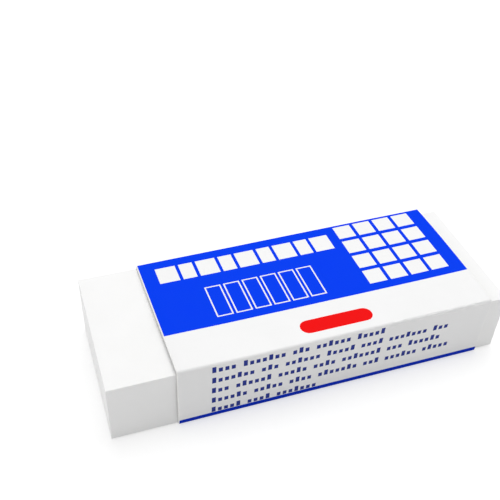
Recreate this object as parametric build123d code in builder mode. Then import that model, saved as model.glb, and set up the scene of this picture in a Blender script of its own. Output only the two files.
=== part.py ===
"""A plastic eraser: a white vinyl block that slides in a folded card sleeve.

The eraser lies on its wide face. +X runs along its length, +Z is up, and the
origin is under the middle of the whole eraser, on the surface that it lies on.
All sizes are in millimetres.
"""

import os

from build123d import *

# Vinyl block
block_length = 65.0
block_width = 23.8
block_height = 11.0
block_long_edge_radius = 0.22  # along the four edges of the moulded slab
block_end_edge_radius = 0.15  # around the two faces where the slab was cut

# Card sleeve: one strip, folded four times and glued to itself
card_thickness = 0.25
sleeve_length = 51.5
block_out_left = 10.1  # how far the block stands out of the sleeve's left mouth
inner_flap_depth = 8.6  # glued flap that hangs from the top fold, far side
outer_flap_margin = 1.3  # free edge of the outer flap, below the top fold

# Clearances between the block and the sleeve
side_clearance = 0.05  # the sleeve grips the block by its narrow sides
top_clearance = 0.60  # the top panel stands clear, because the strip is loose

# Places worked out from the sizes
sleeve_width = block_width + 2 * side_clearance + 3 * card_thickness
sleeve_height = block_height + top_clearance + 2 * card_thickness
sleeve_left = -block_length / 2 + block_out_left
near_face = -sleeve_width / 2
far_face = sleeve_width / 2
inner_flap_face = far_face - card_thickness
seam_height = sleeve_height / 2
fold_radius = block_long_edge_radius - side_clearance + card_thickness
block_near_face = near_face + card_thickness + side_clearance
block_middle = block_near_face + block_width / 2

os.makedirs("parts", exist_ok=True)


# Eraser block: a slab with soft long edges, cut square at both ends. It lies
# on the inside of the sleeve's bottom panel.
block_section = Plane.YZ.offset(-block_length / 2)
with BuildPart() as eraser_block:
    with BuildSketch(block_section):
        with Locations((block_middle, card_thickness)):
            RectangleRounded(
                block_width,
                block_height,
                block_long_edge_radius,
                align=(Align.CENTER, Align.MIN),
            )
    extrude(amount=block_length)
    end_faces = eraser_block.faces().filter_by(Axis.X)
    fillet(end_faces.edges(), block_end_edge_radius)


# Sleeve: the strip is followed along its outer face, seen from the right-hand
# end. The upper run starts at the free end of the inner flap and goes over the
# top and down the near side. The lower run goes on from there, under the
# bottom and up the far side, where it is glued over the inner flap.
upper_run = [
    (inner_flap_face, sleeve_height - inner_flap_depth),
    (inner_flap_face, sleeve_height),
    (near_face, sleeve_height),
    (near_face, seam_height),
]
lower_run = [
    (near_face, seam_height),
    (near_face, 0),
    (far_face, 0),
    (far_face, sleeve_height - outer_flap_margin),
]
with BuildPart() as sleeve:
    with BuildSketch(Plane.YZ.offset(sleeve_left)):
        for run in (upper_run, lower_run):
            with BuildLine():
                FilletPolyline(*run, radius=fold_radius)
                offset(amount=card_thickness, side=Side.LEFT)
            make_face()
    extrude(amount=sleeve_length)


eraser_block.part.label = "eraser_block"
eraser_block.part.color = Color(0.93, 0.93, 0.92)
export_step(eraser_block.part, "parts/eraser_block.step")

sleeve.part.label = "sleeve"
sleeve.part.color = Color(0.05, 0.20, 0.80)
export_step(sleeve.part, "parts/sleeve.step")
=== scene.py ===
"""Looks of the plastic eraser: a white vinyl block in a printed, folded card sleeve.

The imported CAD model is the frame. Sizes here are in millimetres and are turned
into metres when a mesh is made.
"""

import math

import bmesh
import bpy
from mathutils import Matrix, Vector, noise
from mathutils.geometry import delaunay_2d_cdt


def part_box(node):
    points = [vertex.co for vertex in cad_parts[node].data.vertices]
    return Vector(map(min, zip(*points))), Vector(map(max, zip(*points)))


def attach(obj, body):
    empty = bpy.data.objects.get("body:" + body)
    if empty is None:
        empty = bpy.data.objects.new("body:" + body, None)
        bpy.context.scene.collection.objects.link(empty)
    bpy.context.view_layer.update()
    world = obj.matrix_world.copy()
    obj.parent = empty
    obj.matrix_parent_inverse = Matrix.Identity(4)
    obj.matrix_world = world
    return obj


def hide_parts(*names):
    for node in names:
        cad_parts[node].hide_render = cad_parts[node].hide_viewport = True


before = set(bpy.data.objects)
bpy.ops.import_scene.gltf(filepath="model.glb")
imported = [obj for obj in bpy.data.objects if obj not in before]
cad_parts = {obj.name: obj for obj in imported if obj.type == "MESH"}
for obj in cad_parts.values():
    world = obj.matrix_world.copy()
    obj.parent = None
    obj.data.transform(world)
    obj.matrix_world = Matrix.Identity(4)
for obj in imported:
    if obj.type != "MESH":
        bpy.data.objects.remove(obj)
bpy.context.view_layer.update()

MM = 0.001


def box_mm(node):
    """Lowest and highest corner of a CAD node at rest, in millimetres."""
    low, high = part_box(node)
    return Vector(low) / MM, Vector(high) / MM


block_low, block_high = box_mm("eraser_block")
sleeve_low, sleeve_high = box_mm("sleeve")

# Card sleeve, as in the CAD model
CARD = 0.25
GLUE_GAP = 0.02
FOLD_RADIUS = 0.42
INNER_FLAP_DEPTH = 8.6
OUTER_FLAP_MARGIN = 1.3

# How the card really lies: small departures from flat panels
UPPER_START = 6.0
UPPER_SPAN = 5.0
LEFT_FAR_DROP = 0.37
NEAR_DROP = 0.18
NEAR_DROP_REACH = 12.0
LEFT_SKEW = 0.60
LEFT_NEAR_TUCK = 0.05
RIGHT_REACH = 0.16
RIGHT_SKEW = 0.40
RIGHT_FAR_RISE = 0.10
RIGHT_FAR_LEAN = 0.27
LEAN_START = 10.9
LEAN_SPAN = 0.8
PANEL_CROWN = 0.05
MOUTH_CROWN = 0.22
MOUTH_CROWN_REACH = 9.0
NEAR_BOW = 0.05
MOUTH_BOW = 0.20
MOUTH_BOW_REACH = 7.0
CARD_WAVE = 0.025
CARD_WAVE_X = 9.0
CARD_WAVE_S = 6.0
CARD_WAVE_START = 1.5
CARD_WAVE_SPAN = 3.0
CUT_ROUNDING = 0.17
CUT_REACH = 0.16
CREASE_OFFSET = 0.34
CREASE_WIDTH = 0.12
CREASE_HEIGHT = 0.07
CREASE_START = -2.0
CREASE_FADE = 16.0
CREASE_GRAIN = 1.6

# Mesh: spacing of the cuts across a face, and of the cuts that keep an edge crisp
PITCH = 1.6
FINE_PITCH = 0.7
SUPPORT = 0.05

# Vinyl block: its edges are a little finer than in the CAD model
BLOCK_RADIUS = 0.12
EDGE_STEPS = 4
BLOCK_WAVE = 0.03
BLOCK_WAVE_LONG = 7.0
BLOCK_WAVE_SHORT = 2.5
BLOCK_WAVE_START = 0.3
BLOCK_WAVE_SPAN = 1.5

# Printed layout of a wide face, in x and y of the top panel
BLUE_WRAP = 1.15
BAND_WIDTH = 7.35
HEADLINE_LEFT = -19.8
HEADLINE_LOW = 6.35
HEADLINE_HIGH = 10.0
HEADLINE_GAP = 0.55
HEADLINE_WIDE = 3.3
HEADLINE_NARROW = 2.3
OUTLINED_BLOCKS = 6
OUTLINED_LEFT = -13.5
OUTLINED_RIGHT = 4.6
OUTLINED_LOW = -3.35
OUTLINED_HIGH = 3.5
OUTLINED_GAP = 0.45
OUTLINE_WIDTH = 0.22
GRID_COUNT = 4
GRID_LEFT = 12.1
GRID_TOP = 11.35
GRID_SQUARE = 3.10
GRID_PITCH_X = 3.737
GRID_PITCH_Y = 3.87
BAR_LEFT = -2.45
BAR_RIGHT = 9.45
BAR_LOW = -10.6
BAR_HIGH = -7.95

# Small print on the near narrow side
TEXT_LEFT = -17.2
TEXT_BASE = 10.32
TEXT_PITCH = 2.27
TEXT_ENDS = (12.5, 24.5, 22.2, 24.2, 2.0)
WORD_LENGTHS = (4, 7, 3, 6, 5)
WORD_GAP = 0.85
LETTER_WIDTH = 0.62
LETTER_PITCH = 0.98
LETTER_LOW = 0.82
LETTER_TALL = 1.2
TALL_EVERY = 4

SLEEVE_NEAR, SLEEVE_FAR = sleeve_low.y, sleeve_high.y
SLEEVE_LEFT, SLEEVE_RIGHT = sleeve_low.x, sleeve_high.x
SLEEVE_TOP = sleeve_high.z


# ---------------------------------------------------------------- section path


class StripPath:
    """Outer face of the folded card strip, seen from the right-hand end.

    s is the distance along the strip. A place on the strip has a y, a z and the
    direction that points out of the sleeve there.
    """

    FOLD_STEPS = 8

    def __init__(self, corners, radius):
        self.spans = []
        self.folds = []
        s = 0.0
        start = Vector(corners[0])
        for index in range(1, len(corners)):
            corner = Vector(corners[index])
            way = (corner - start).normalized()
            last = index == len(corners) - 1
            end = corner if last else corner - way * radius
            length = (end - start).length
            self.spans.append((s, s + length, "line", start, way))
            s += length
            if last:
                break
            turn = (Vector(corners[index + 1]) - corner).normalized()
            centre = end + turn * radius
            arc = radius * math.pi / 2
            self.spans.append((s, s + arc, "arc", centre, way))
            self.folds.append((s, s + arc))
            s += arc
            start = corner + turn * radius
        self.length = s
        self.radius = radius

    def at(self, s):
        """Place (y, z) and outward direction at distance s."""
        span = next(item for item in self.spans if s <= item[1] + 1e-9 or item is self.spans[-1])
        begin, _, kind, anchor, way = span
        if kind == "line":
            return anchor + way * (s - begin), Vector((way.y, -way.x))
        angle = (s - begin) / self.radius
        out = Vector((way.y, -way.x))
        direction = out * math.cos(angle) + way * math.sin(angle)
        return anchor + direction * self.radius, direction


flap_face = SLEEVE_FAR - CARD - GLUE_GAP
strip = StripPath(
    [
        (flap_face, SLEEVE_TOP - INNER_FLAP_DEPTH),
        (flap_face, SLEEVE_TOP),
        (SLEEVE_NEAR, SLEEVE_TOP),
        (SLEEVE_NEAR, 0.0),
        (SLEEVE_FAR, 0.0),
        (SLEEVE_FAR, SLEEVE_TOP - OUTER_FLAP_MARGIN),
    ],
    FOLD_RADIUS,
)
FAR_TOP_FOLD, NEAR_TOP_FOLD, NEAR_BOTTOM_FOLD, FAR_BOTTOM_FOLD = strip.folds


def top(y):
    """Distance along the strip of a place on the top panel."""
    return FAR_TOP_FOLD[1] + (flap_face - FOLD_RADIUS - y)


def near(z):
    """Distance along the strip of a place on the near narrow side."""
    return NEAR_TOP_FOLD[1] + (SLEEVE_TOP - FOLD_RADIUS - z)


def bottom(y):
    """Distance along the strip of a place on the bottom panel."""
    return NEAR_BOTTOM_FOLD[1] + (y - SLEEVE_NEAR - FOLD_RADIUS)


# --------------------------------------------------------------------- print


def rectangle(x0, s0, x1, s1):
    """A plain rectangle, as an outline."""
    return [(x0, s0), (x1, s0), (x1, s1), (x0, s1)]


def pill(x0, s0, x1, s1, steps=8):
    """A bar with round ends, as an outline."""
    radius = abs(s1 - s0) / 2
    middle = (s0 + s1) / 2
    outline = []
    for centre, start in ((x1 - radius, -90), (x0 + radius, 90)):
        for step in range(steps + 1):
            angle = math.radians(start + 180 * step / steps)
            outline.append((centre + radius * math.cos(angle), middle + radius * math.sin(angle)))
    return outline


def wide_face(place):
    """Print of a wide face: place turns a y of the top panel into a distance."""
    fields = []

    def add(colour, x0, y0, x1, y1, shape=rectangle):
        s0, s1 = sorted((place(y0), place(y1)))
        fields.append((colour, shape(x0, s0, x1, s1)))

    # headline: a row of plain white blocks
    x = HEADLINE_LEFT
    for width in (HEADLINE_WIDE, HEADLINE_NARROW) * 4 + (HEADLINE_WIDE,):
        add("white", x, HEADLINE_LOW, x + width, HEADLINE_HIGH)
        x += width + HEADLINE_GAP
    # second row: tall blocks in thin outline
    row_width = OUTLINED_RIGHT - OUTLINED_LEFT
    width = (row_width - OUTLINED_GAP * (OUTLINED_BLOCKS - 1)) / OUTLINED_BLOCKS
    line = OUTLINE_WIDTH
    for index in range(OUTLINED_BLOCKS):
        x = OUTLINED_LEFT + index * (width + OUTLINED_GAP)
        add("white", x, OUTLINED_LOW, x + width, OUTLINED_HIGH)
        add("blue", x + line, OUTLINED_LOW + line, x + width - line, OUTLINED_HIGH - line)
    # grid of white squares
    for row in range(GRID_COUNT):
        for column in range(GRID_COUNT):
            x = GRID_LEFT + column * GRID_PITCH_X
            y = GRID_TOP - row * GRID_PITCH_Y
            add("white", x, y - GRID_SQUARE, x + GRID_SQUARE, y)
    # red bar on the white band
    add("red", BAR_LEFT, BAR_LOW, BAR_RIGHT, BAR_HIGH, pill)
    return fields


def print_fields():
    """Every printed field as (colour, outline), the later ones on top."""
    blue_edge = SLEEVE_NEAR + BAND_WIDTH
    far_wrap = FAR_TOP_FOLD[0] - BLUE_WRAP + FOLD_RADIUS
    near_wrap = near(BLUE_WRAP)
    fields = [
        ("blue", rectangle(SLEEVE_LEFT, far_wrap, SLEEVE_RIGHT, top(blue_edge))),
        ("blue", rectangle(SLEEVE_LEFT, near_wrap, SLEEVE_RIGHT, bottom(-blue_edge))),
        # the blue wrap on the lower near side is the same blue ink, painted darker as shade near
        # the floor
        ("shaded_blue", rectangle(SLEEVE_LEFT, near_wrap, SLEEVE_RIGHT, NEAR_BOTTOM_FOLD[1])),
    ]
    fields += wide_face(top)
    fields += wide_face(lambda y: bottom(-y))
    # five lines of small print: groups of small plain blocks, some of them taller
    for row, line_end in enumerate(TEXT_ENDS):
        z = TEXT_BASE - TEXT_PITCH * row
        x = TEXT_LEFT
        word = row
        count = 0
        while x + 3 * LETTER_PITCH < line_end:
            for _ in range(WORD_LENGTHS[word % len(WORD_LENGTHS)]):
                height = LETTER_TALL if count % TALL_EVERY == 0 else LETTER_LOW
                if x + LETTER_WIDTH < line_end:
                    letter = rectangle(x, near(z + height), x + LETTER_WIDTH, near(z))
                    fields.append(("navy", letter))
                x += LETTER_PITCH
                count += 1
            x += WORD_GAP
            word += 1
    return fields


# -------------------------------------------------------------------- sleeve


def ease(value):
    """0 below 0, 1 above 1, smooth between."""
    value = min(max(value, 0.0), 1.0)
    return value * value * (3 - 2 * value)


def crease(x, s):
    """Height of the rubbed crease that runs under the top near fold, towards the right."""
    offset = (s - NEAR_TOP_FOLD[1] - CREASE_OFFSET) / CREASE_WIDTH
    uneven = 0.65 + 0.7 * noise.noise(Vector((x / CREASE_GRAIN, 0.0, 8.1)))
    height = CREASE_HEIGHT * ease((x - CREASE_START) / CREASE_FADE) * max(uneven, 0.0)
    return height * math.exp(-offset * offset)


def card_place(x, s, depth):
    """Place in space of a point of the card.

    x is along the sleeve, s is round it and depth is in from the outer face.
    """
    from_left, from_right = x - SLEEVE_LEFT, SLEEVE_RIGHT - x
    # the outer face is rounded over at the two cut ends, and raised along the crease
    outer = 1 - depth / CARD
    rounded = max(0.0, 1 - min(from_left, from_right) / CUT_REACH)
    depth += outer * (CUT_ROUNDING * rounded * rounded - crease(x, s))
    flat, out = strip.at(s)
    y, z = flat - out * depth
    along = from_left / (SLEEVE_RIGHT - SLEEVE_LEFT)
    across = (y - SLEEVE_NEAR) / (SLEEVE_FAR - SLEEVE_NEAR)
    on_top = ease((z - SLEEVE_TOP + CARD + FOLD_RADIUS) / FOLD_RADIUS)
    # the far fold lies on the block at the left mouth, and stands out at the right one
    upper = ease((z - UPPER_START) / UPPER_SPAN)
    rise = RIGHT_FAR_RISE * along - LEFT_FAR_DROP * (1 - along)
    z += rise * across * upper
    lean = RIGHT_FAR_LEAN * ease((z - LEAN_START) / LEAN_SPAN)
    y += lean * along * across * across
    # the near fold settles away from the left mouth
    z -= NEAR_DROP * ease(from_left / NEAR_DROP_REACH) * (1 - across) * upper
    # the two ends were not cut quite square
    x += (1 - along) * upper * (LEFT_NEAR_TUCK - LEFT_SKEW * across)
    x += along * (RIGHT_REACH + RIGHT_SKEW * upper * (0.5 - across))
    # the top panel is crowned, most at the right mouth
    crown = PANEL_CROWN + MOUTH_CROWN * math.exp(-from_right / MOUTH_CROWN_REACH)
    z += crown * 4 * across * (1 - across) * on_top
    # the near side bows out, most at the left mouth
    up = 2 * z / SLEEVE_TOP - 1
    if y < SLEEVE_NEAR + FOLD_RADIUS:
        bow = NEAR_BOW + MOUTH_BOW * math.exp(-from_left / MOUTH_BOW_REACH)
        y -= bow * (1 - up * up)
    # slow waves, as in any folded card
    wave = noise.noise(Vector((x / CARD_WAVE_X, s / CARD_WAVE_S, 3.7)))
    wave *= CARD_WAVE * ease((z - CARD_WAVE_START) / CARD_WAVE_SPAN)
    y += out.x * wave
    z += out.y * wave
    return Vector((x, y, z))


def lines(start, end, pitch):
    """Evenly spaced values from start to end, at most pitch apart."""
    count = max(1, math.ceil((end - start) / pitch))
    return [start + (end - start) * index / count for index in range(count + 1)]


def sheet_lines():
    """The x and the s at which the flat card is divided."""
    xs = lines(SLEEVE_LEFT, 0.0, PITCH) + lines(0.0, SLEEVE_RIGHT, FINE_PITCH)
    for share in (0.25, 0.5, 0.75, 1.0):
        xs += [SLEEVE_LEFT + CUT_REACH * share, SLEEVE_RIGHT - CUT_REACH * share]
    ss = [NEAR_TOP_FOLD[1] + CREASE_OFFSET + CREASE_WIDTH * step / 2 for step in range(-4, 5)]
    for begin, end, kind, _, _ in strip.spans:
        if kind == "arc":
            ss += lines(begin, end, (end - begin) / StripPath.FOLD_STEPS)
            ss += [begin - SUPPORT, end + SUPPORT]
        else:
            ss += lines(begin, end, PITCH)
    return sorted(set(round(x, 5) for x in xs)), sorted(set(round(s, 5) for s in ss))


def cut_sheet(fields):
    """Flat card cut along every print edge: points, triangles and the colour of each."""
    points, edges, faces = [], [], []

    def add_points(outline):
        first = len(points)
        points.extend(Vector((round(x, 5), round(s, 5))) for x, s in outline)
        return list(range(first, len(points)))

    xs, ss = sheet_lines()
    faces.append(add_points(rectangle(xs[0], ss[0], xs[-1], ss[-1])))
    colours = ["white"]
    for colour, outline in fields:
        faces.append(add_points(outline))
        colours.append(colour)
    for x in xs[1:-1]:
        edges.append(tuple(add_points([(x, ss[0]), (x, ss[-1])])))
    for s in ss[1:-1]:
        edges.append(tuple(add_points([(xs[0], s), (xs[-1], s)])))
    cut_points, _, triangles, _, _, sources = delaunay_2d_cdt(points, edges, faces, 1, 1e-4)
    kept = [(t, colours[max(source)]) for t, source in zip(triangles, sources) if source]
    return cut_points, kept


def rim_of(triangles):
    """Directed edges that belong to one triangle only."""
    seen = {}
    for triangle in triangles:
        for a, b in zip(triangle, triangle[1:] + triangle[:1]):
            seen[(a, b)] = True
    return [edge for edge in seen if (edge[1], edge[0]) not in seen]


def add_to_scene(name, data):
    """A new object with this mesh, lamp or camera."""
    made = bpy.data.objects.new(name, data)
    bpy.context.scene.collection.objects.link(made)
    return made


def smooth_object(name, mesh, angle):
    """A smooth object that stays sharp where it turns by more than angle degrees."""
    mesh.shade_smooth()
    mesh.set_sharp_from_angle(angle=math.radians(angle))
    return add_to_scene(name, mesh)


def make_sleeve(materials):
    """The folded card: printed outer face, plain inner face and cut rims, the rims painted pale
    as a highlight.
    """
    order = list(materials)
    flat, kept = cut_sheet(print_fields())
    count = len(flat)
    points = [card_place(p.x, p.y, 0.0) for p in flat]
    points += [card_place(p.x, p.y, CARD) for p in flat]
    faces, slots = [], []
    triangles = []
    for triangle, colour in kept:
        a, b, c = (flat[i] for i in triangle)
        turn = (b.x - a.x) * (c.y - a.y) - (b.y - a.y) * (c.x - a.x)
        outward = list(triangle) if turn < 0 else list(reversed(triangle))
        triangles.append(outward)
        faces.append(outward)
        middle = (a.x + b.x + c.x) / 3
        # a narrow band of the outer face at each cut end takes the rim material, whose pale
        # colour is a painted highlight
        at_cut = min(middle - SLEEVE_LEFT, SLEEVE_RIGHT - middle) < CUT_REACH
        slots.append(order.index("rim" if at_cut else colour))
        faces.append([i + count for i in reversed(outward)])
        slots.append(order.index("inside"))
    for a, b in rim_of(triangles):
        faces.append([b, a, a + count, b + count])
        slots.append(order.index("rim"))
    mesh = bpy.data.meshes.new("printed_sleeve")
    mesh.from_pydata([point * MM for point in points], [], faces)
    for material in materials.values():
        mesh.materials.append(material)
    mesh.polygons.foreach_set("material_index", slots)
    mesh.validate()
    return smooth_object("printed_sleeve", mesh, 35)


# --------------------------------------------------------------------- block


def make_block(material):
    """The vinyl slab: fine rounded edges and faintly uneven faces."""
    bm = bmesh.new()
    bmesh.ops.create_cube(bm, size=1.0)
    size = block_high - block_low
    middle = (block_low + block_high) / 2
    for vert in bm.verts:
        vert.co = Vector(a * b for a, b in zip(vert.co, size)) + middle
    steps = [BLOCK_RADIUS * step / EDGE_STEPS for step in range(1, EDGE_STEPS + 1)]
    margin = BLOCK_RADIUS + SUPPORT
    for axis in range(3):
        normal = Vector((0, 0, 0))
        normal[axis] = 1
        low, high = block_low[axis], block_high[axis]
        values = lines(low + margin, high - margin, PITCH)
        values += [low + step for step in steps] + [high - step for step in steps]
        for value in values:
            place = Vector((0, 0, 0))
            place[axis] = value
            bmesh.ops.bisect_plane(
                bm, geom=bm.verts[:] + bm.edges[:] + bm.faces[:], plane_co=place, plane_no=normal
            )
    # every point keeps one radius from a core box, which rounds the edges and corners
    inset = Vector((BLOCK_RADIUS, BLOCK_RADIUS, BLOCK_RADIUS))
    core_low, core_high = block_low + inset, block_high - inset
    for vert in bm.verts:
        core = Vector(min(max(v, a), b) for v, a, b in zip(vert.co, core_low, core_high))
        vert.co = core + (vert.co - core).normalized() * BLOCK_RADIUS
    # the faces sink a little in places, but not along the bottom
    bm.normal_update()
    moves = []
    for vert in bm.verts:
        wave = noise.noise(vert.co / BLOCK_WAVE_LONG)
        wave += 0.5 * noise.noise(vert.co / BLOCK_WAVE_SHORT)
        above = ease((vert.co.z - block_low.z - BLOCK_WAVE_START) / BLOCK_WAVE_SPAN)
        moves.append(-vert.normal * abs(wave) * BLOCK_WAVE * above)
    for vert, move in zip(bm.verts, moves):
        vert.co += move
    for vert in bm.verts:
        vert.co *= MM
    mesh = bpy.data.meshes.new("vinyl_block")
    bm.to_mesh(mesh)
    bm.free()
    mesh.materials.append(material)
    return smooth_object("vinyl_block", mesh, 40)


# ----------------------------------------------------------------- materials


def srgb(red, green, blue):
    """Linear colour of an sRGB colour given in 0 to 255."""

    def linear(value):
        value /= 255
        return value / 12.92 if value <= 0.04045 else ((value + 0.055) / 1.055) ** 2.4

    return linear(red), linear(green), linear(blue), 1.0


def surface(name, colour_a, colour_b, patch, roughness, grain, relief, specular=0.3):
    """A node material: two close colours in soft patches, uneven gloss and a fine grain.

    patch and grain are feature sizes in millimetres, roughness is a (low, high)
    pair, and relief is the height of the grain in millimetres.
    """
    material = bpy.data.materials.new(name)
    material.use_nodes = True
    nodes, links = material.node_tree.nodes, material.node_tree.links
    shader = nodes["Principled BSDF"]
    shader.inputs["Specular IOR Level"].default_value = specular
    place = nodes.new("ShaderNodeTexCoord")

    def noise_at(size_mm, detail):
        node = nodes.new("ShaderNodeTexNoise")
        node.inputs["Scale"].default_value = 1 / (size_mm * MM)
        node.inputs["Detail"].default_value = detail
        links.new(place.outputs["Object"], node.inputs["Vector"])
        return node.outputs["Fac"]

    mix = nodes.new("ShaderNodeMix")
    mix.data_type = "RGBA"
    mix.inputs["A"].default_value = colour_a
    mix.inputs["B"].default_value = colour_b
    links.new(noise_at(patch, 3.0), mix.inputs["Factor"])
    links.new(mix.outputs["Result"], shader.inputs["Base Color"])
    gloss = nodes.new("ShaderNodeMapRange")
    gloss.inputs["From Min"].default_value = 0.3
    gloss.inputs["From Max"].default_value = 0.7
    gloss.inputs["To Min"].default_value = roughness[0]
    gloss.inputs["To Max"].default_value = roughness[1]
    links.new(noise_at(patch * 0.4, 4.0), gloss.inputs["Value"])
    links.new(gloss.outputs["Result"], shader.inputs["Roughness"])
    bump = nodes.new("ShaderNodeBump")
    bump.inputs["Strength"].default_value = 1.0
    bump.inputs["Distance"].default_value = relief * MM
    links.new(noise_at(grain, 5.0), bump.inputs["Height"])
    links.new(bump.outputs["Normal"], shader.inputs["Normal"])
    return material, shader


class Mask:
    """Soft masks in a material, from the object's own coordinates in millimetres."""

    def __init__(self, material):
        self.nodes, self.links = material.node_tree.nodes, material.node_tree.links
        self.place = self.nodes.new("ShaderNodeTexCoord").outputs["Object"]
        apart = self.nodes.new("ShaderNodeSeparateXYZ")
        self.links.new(self.place, apart.inputs[0])
        self.x, self.y, self.z = (apart.outputs[axis] for axis in "XYZ")

    def ramp(self, value, low, high, unit=MM):
        """0 where the value is at low, 1 where it is at high, smooth between."""
        node = self.nodes.new("ShaderNodeMapRange")
        node.interpolation_type = "SMOOTHSTEP"
        node.inputs["From Min"].default_value = min(low, high) * unit
        node.inputs["From Max"].default_value = max(low, high) * unit
        node.inputs["To Min"].default_value = 0.0 if low < high else 1.0
        node.inputs["To Max"].default_value = 1.0 if low < high else 0.0
        self.links.new(value, node.inputs["Value"])
        return node.outputs["Result"]

    def streaks(self, sizes):
        """Noise drawn out to the given feature sizes along x, y and z."""
        stretch = self.nodes.new("ShaderNodeMapping")
        stretch.inputs["Scale"].default_value = [1 / (size * MM) for size in sizes]
        self.links.new(self.place, stretch.inputs["Vector"])
        node = self.nodes.new("ShaderNodeTexNoise")
        node.inputs["Scale"].default_value = 1.0
        node.inputs["Detail"].default_value = 1.5
        self.links.new(stretch.outputs["Vector"], node.inputs["Vector"])
        return node.outputs["Fac"]

    def product(self, *values):
        """All the values multiplied together."""
        result = values[0]
        for value in values[1:]:
            node = self.nodes.new("ShaderNodeMath")
            node.operation = "MULTIPLY"
            self.links.new(result, node.inputs[0])
            self.links.new(value, node.inputs[1])
            result = node.outputs["Value"]
        return result

    def tint(self, shader, mask, colour):
        """Turn the base colour towards another one where the mask is 1."""
        base = shader.inputs["Base Color"].links[0].from_socket
        mix = self.nodes.new("ShaderNodeMix")
        mix.data_type = "RGBA"
        self.links.new(base, mix.inputs["A"])
        mix.inputs["B"].default_value = colour
        self.links.new(mask, mix.inputs["Factor"])
        self.links.new(mix.outputs["Result"], shader.inputs["Base Color"])

    def raise_up(self, shader, mask, height):
        """Raise the surface, for its shading only, by a height in millimetres."""
        bump = self.nodes.new("ShaderNodeBump")
        bump.inputs["Distance"].default_value = height * MM
        self.links.new(shader.inputs["Normal"].links[0].from_socket, bump.inputs["Normal"])
        self.links.new(mask, bump.inputs["Height"])
        self.links.new(bump.outputs["Normal"], shader.inputs["Normal"])


def add_fold_wear_and_highlight(material, shader):
    """Rubbed flecks along the top near fold, thicker towards the right-hand end; their paler
    colour is a painted highlight.
    """
    mask = Mask(material)
    on_fold = mask.product(
        mask.ramp(mask.z, SLEEVE_TOP - 1.1, SLEEVE_TOP - 0.5),
        mask.ramp(mask.y, SLEEVE_NEAR + 0.5, SLEEVE_NEAR + 0.2),
    )
    flecks = mask.ramp(mask.streaks((1.6, 0.30, 0.30)), 0.46, 0.66, 1.0)
    wear_and_highlight = mask.product(on_fold, mask.ramp(mask.x, -4.0, 20.0), flecks)
    # paler than the card: painted highlight on the rubbed flecks, and the bump below is their
    # relief
    mask.tint(shader, wear_and_highlight, srgb(250, 250, 250))
    mask.raise_up(shader, wear_and_highlight, 0.05)


def add_cut_marks(material, shader):
    """Fine marks that the slab's cutting left on its two ends."""
    mask = Mask(material)
    marks = mask.ramp(mask.streaks((3.0, 5.0, 0.30)), 0.35, 0.65, 1.0)
    for side, edge in ((1, block_high.x), (-1, block_low.x)):
        at_end = mask.ramp(mask.x, edge - side * 0.12, edge - side * 0.04)
        mask.raise_up(shader, mask.product(marks, at_end), 0.03)


def vinyl_material():
    """Matt white vinyl, with cutting marks on its ends."""
    colours = srgb(246, 246, 246), srgb(241, 241, 240)
    material, shader = surface("white_vinyl", *colours, 6.0, (0.48, 0.62), 0.35, 0.006)
    add_cut_marks(material, shader)
    return material


def ink(name, colour_a, colour_b, patch, specular):
    """Printed ink: smoother than the bare card, and hardly shiny."""
    return surface(name, colour_a, colour_b, patch, (0.34, 0.46), 0.22, 0.003, specular)[0]


def card_materials():
    """The materials of the card, by the names that the print uses."""
    colours = srgb(242, 242, 242), srgb(237, 237, 237)
    white, white_shader = surface("card_white", *colours, 5.0, (0.38, 0.50), 0.22, 0.004)
    # rubbed flecks on the near top fold, painted paler as a highlight
    add_fold_wear_and_highlight(white, white_shader)
    colours = srgb(238, 237, 233), srgb(230, 229, 224)
    inside = surface("card_inside", *colours, 1.5, (0.75, 0.9), 0.12, 0.010)[0]
    # paler than the card face: a painted highlight on the cut edges and the narrow band beside
    # them
    colours = srgb(250, 250, 249), srgb(242, 241, 239)
    rim = surface("card_rim_painted_highlight", *colours, 0.4, (0.8, 0.95), 0.08, 0.015)[0]
    blue = ink("ink_blue", srgb(0, 60, 240), srgb(0, 63, 236), 4.0, 0.02)
    # a darker copy of the blue ink: painted shade for the strip along the lower near fold
    shaded_blue = ink("ink_blue_painted_shade", srgb(0, 44, 186), srgb(0, 48, 192), 1.5, 0.02)
    colours = srgb(20, 40, 130), srgb(30, 50, 142)
    navy = surface("ink_navy", *colours, 0.8, (0.35, 0.5), 0.22, 0.003, 0.12)[0]
    red = ink("ink_red", srgb(242, 4, 6), srgb(236, 6, 8), 2.0, 0.04)
    return {
        "white": white,
        "blue": blue,
        "shaded_blue": shaded_blue,
        "navy": navy,
        "red": red,
        "inside": inside,
        "rim": rim,
    }


# --------------------------------------------------------------------- stage

# Metres, and shades from 0 to 1
FLOOR_HALF = 1.5
FLOOR_LEVEL = -0.00002
FLOOR_LIT = 0.86
FLOOR_SEEN = 0.50
GLOW_FROM = 0.12
GLOW_TO = 0.70
GLOW_NEAR = 0.58
GLOW_FAR = 0.90
PLAIN_WHITE = (1, 1, 1, 1)

# The photograph's viewpoint: degrees, and millimetres in the part's frame
CAMERA_AZIMUTH = -20.49
CAMERA_ELEVATION = 40.63
CAMERA_ROLL = 2.71
CAMERA_PLACE = (-38.0, -81.4, 95.8)
CAMERA_LENS = 54.96


def white_to_the_eye(nodes, links):
    """1 for rays from the camera and for reflections, 0 for rays that carry light."""
    path = nodes.new("ShaderNodeLightPath")
    either = nodes.new("ShaderNodeMath")
    either.operation = "MAXIMUM"
    links.new(path.outputs["Is Camera Ray"], either.inputs[0])
    links.new(path.outputs["Is Glossy Ray"], either.inputs[1])
    return either.outputs["Value"]


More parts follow.
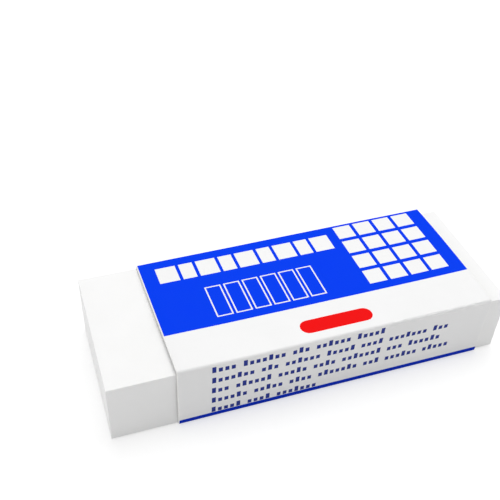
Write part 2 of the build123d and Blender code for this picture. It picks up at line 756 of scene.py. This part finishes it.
def make_floor():
    """A white floor that keeps the shadow and reads as white to the camera."""
    mesh = bpy.data.meshes.new("floor")
    signs = [(-1, -1), (1, -1), (1, 1), (-1, 1)]
    corners = [(x * FLOOR_HALF, y * FLOOR_HALF, FLOOR_LEVEL) for x, y in signs]
    mesh.from_pydata(corners, [], [(0, 1, 2, 3)])
    floor = add_to_scene("floor", mesh)
    material = bpy.data.materials.new("floor_white")
    material.use_nodes = True
    nodes, links = material.node_tree.nodes, material.node_tree.links
    nodes.remove(nodes["Principled BSDF"])
    lit = nodes.new("ShaderNodeBsdfDiffuse")
    lit.inputs["Color"].default_value = (FLOOR_LIT, FLOOR_LIT, FLOOR_LIT, 1)
    seen = nodes.new("ShaderNodeBsdfDiffuse")
    seen.inputs["Color"].default_value = (FLOOR_SEEN, FLOOR_SEEN, FLOOR_SEEN, 1)
    place = nodes.new("ShaderNodeTexCoord")
    distance = nodes.new("ShaderNodeVectorMath")
    distance.operation = "LENGTH"
    links.new(place.outputs["Object"], distance.inputs[0])
    strength = nodes.new("ShaderNodeMapRange")
    strength.interpolation_type = "SMOOTHSTEP"
    strength.inputs["From Min"].default_value = GLOW_FROM
    strength.inputs["From Max"].default_value = GLOW_TO
    strength.inputs["To Min"].default_value = GLOW_NEAR
    strength.inputs["To Max"].default_value = GLOW_FAR
    links.new(distance.outputs["Value"], strength.inputs["Value"])
    glow = nodes.new("ShaderNodeEmission")
    links.new(strength.outputs["Result"], glow.inputs["Strength"])
    both = nodes.new("ShaderNodeAddShader")
    links.new(seen.outputs["BSDF"], both.inputs[0])
    links.new(glow.outputs["Emission"], both.inputs[1])
    mix = nodes.new("ShaderNodeMixShader")
    links.new(white_to_the_eye(nodes, links), mix.inputs["Fac"])
    links.new(lit.outputs["BSDF"], mix.inputs[1])
    links.new(both.outputs["Shader"], mix.inputs[2])
    links.new(mix.outputs["Shader"], nodes["Material Output"].inputs["Surface"])
    mesh.materials.append(material)


def make_world(strength):
    """Even light from all round, and plain white to the camera."""
    world = bpy.data.worlds.new("studio")
    bpy.context.scene.world = world
    world.use_nodes = True
    nodes, links = world.node_tree.nodes, world.node_tree.links
    light = nodes["Background"]
    light.inputs["Color"].default_value = PLAIN_WHITE
    light.inputs["Strength"].default_value = strength
    white = nodes.new("ShaderNodeBackground")
    white.inputs["Color"].default_value = PLAIN_WHITE
    white.inputs["Strength"].default_value = 1.0
    mix = nodes.new("ShaderNodeMixShader")
    links.new(white_to_the_eye(nodes, links), mix.inputs["Fac"])
    links.new(light.outputs["Background"], mix.inputs[1])
    links.new(white.outputs["Background"], mix.inputs[2])
    links.new(mix.outputs["Shader"], nodes["World Output"].inputs["Surface"])


def make_lamp(name, place, size, power):
    """A square area lamp, pointed at the origin; place and size are in metres."""
    data = bpy.data.lights.new(name, "AREA")
    data.shape = "SQUARE"
    data.size = size
    data.energy = power
    lamp = add_to_scene(name, data)
    lamp.location = place
    lamp.rotation_mode = "QUATERNION"
    lamp.rotation_quaternion = (-Vector(place)).to_track_quat("-Z", "Y")


def make_camera():
    """The photograph's viewpoint: left of the middle, about 40 degrees above."""
    azimuth = math.radians(CAMERA_AZIMUTH)
    elevation = math.radians(CAMERA_ELEVATION)
    roll = math.radians(CAMERA_ROLL)
    back = Vector(
        (
            math.sin(azimuth) * math.cos(elevation),
            -math.cos(azimuth) * math.cos(elevation),
            math.sin(elevation),
        )
    )
    right = Vector((0, 0, 1)).cross(back).normalized()
    up = back.cross(right)
    turned_right = right * math.cos(roll) + up * math.sin(roll)
    turned_up = up * math.cos(roll) - right * math.sin(roll)
    data = bpy.data.cameras.new("camera")
    data.lens = CAMERA_LENS
    data.sensor_width = 36.0
    data.clip_start = 0.005
    data.clip_end = 20.0
    camera = add_to_scene("camera", data)
    axes = Matrix((turned_right, turned_up, back)).transposed()
    camera.matrix_world = Matrix.Translation(Vector(CAMERA_PLACE) * MM) @ axes.to_4x4()
    bpy.context.scene.camera = camera


make_camera()
make_world(strength=0.54)
make_lamp("lamp_above", (0.10, 0.20, 0.57), size=0.5, power=2.12)
make_lamp("lamp_left", (-0.60, -0.01, 0.20), size=0.5, power=0.58)
make_lamp("lamp_right", (0.32, -0.12, 0.20), size=0.25, power=0.08)
make_floor()
bpy.context.scene.view_settings.view_transform = "Standard"

sleeve = make_sleeve(card_materials())
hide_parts("sleeve")
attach(sleeve, "sleeve")

block = make_block(vinyl_material())
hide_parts("eraser_block")
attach(block, "block")
